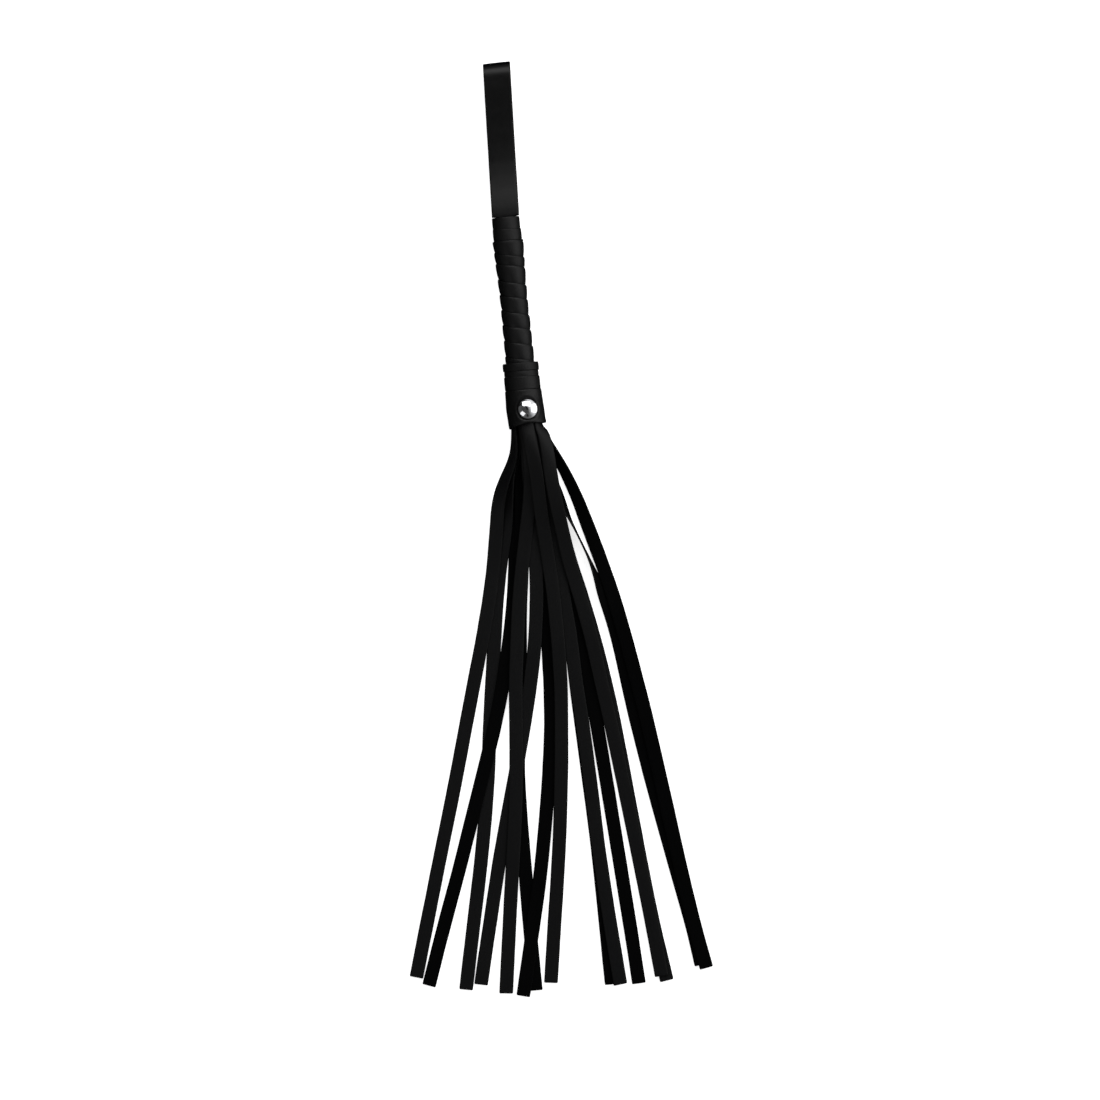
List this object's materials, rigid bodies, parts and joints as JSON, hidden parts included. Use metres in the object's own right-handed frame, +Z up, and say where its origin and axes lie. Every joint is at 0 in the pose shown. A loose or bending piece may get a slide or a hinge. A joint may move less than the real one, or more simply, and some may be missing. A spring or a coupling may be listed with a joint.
{
  "type": "tasselled leather whip",
  "caption": "Short leather whip: spiral-wrapped handle, wrist strap loop at the butt, riveted collar at the mouth and a bundle of flat limp leather tails.",
  "frame": {"origin": "on the floor under the middle of the bounding box", "axes": "+Z up; +Y along the handle from the tails towards the wrist loop; +X to the right"},
  "size_m": [0.1758, 0.5414, 0.0244],
  "materials": {
    "core_wood": "plain turned",
    "grip_leather": "smooth, satin",
    "band_leather": "smooth, satin",
    "collar_leather": "smooth, satin",
    "strap_leather": "smooth, satin",
    "tail_leather": "fine grain on one side, napped on the other",
    "rivet_chrome": "polished",
    "nail_steel": "plain"
  },
  "bodies": {
    "handle": {"handle_core": "core_wood", "grip_wrap": "grip_leather", "butt_band": "band_leather", "lower_band": "band_leather", "collar": "collar_leather", "rivet_nail": "nail_steel", "rivet_cap": "rivet_chrome"},
    "wrist_loop": {"wrist_strap": "strap_leather"},
    "tails": {"tail_01": "tail_leather", "tail_02": "tail_leather", "tail_03": "tail_leather", "tail_04": "tail_leather", "tail_05": "tail_leather", "tail_06": "tail_leather", "tail_07": "tail_leather", "tail_08": "tail_leather", "tail_09": "tail_leather", "tail_10": "tail_leather", "tail_11": "tail_leather", "tail_12": "tail_leather", "tail_13": "tail_leather", "tail_14": "tail_leather", "tail_15": "tail_leather"}
  },
  "joints": [
    {"name": "loop_bend", "type": "hinge", "parent": "handle", "child": "wrist_loop", "pos_m": [0.01196, 0.18025, 0.01115], "axis": [1, 0, 0], "range_deg": [-110, 110], "deforming": ["wrist_strap"]},
    {"name": "tails_bend", "type": "hinge", "parent": "handle", "child": "tails", "pos_m": [0.01196, 0.05925, 0.01115], "axis": [-1, 0, 0], "range_deg": [-120, 120], "deforming": ["tail_01", "tail_02", "tail_03", "tail_04", "tail_05", "tail_06", "tail_07", "tail_08", "tail_09", "tail_10", "tail_11", "tail_12", "tail_13", "tail_14", "tail_15"]}
  ]
}
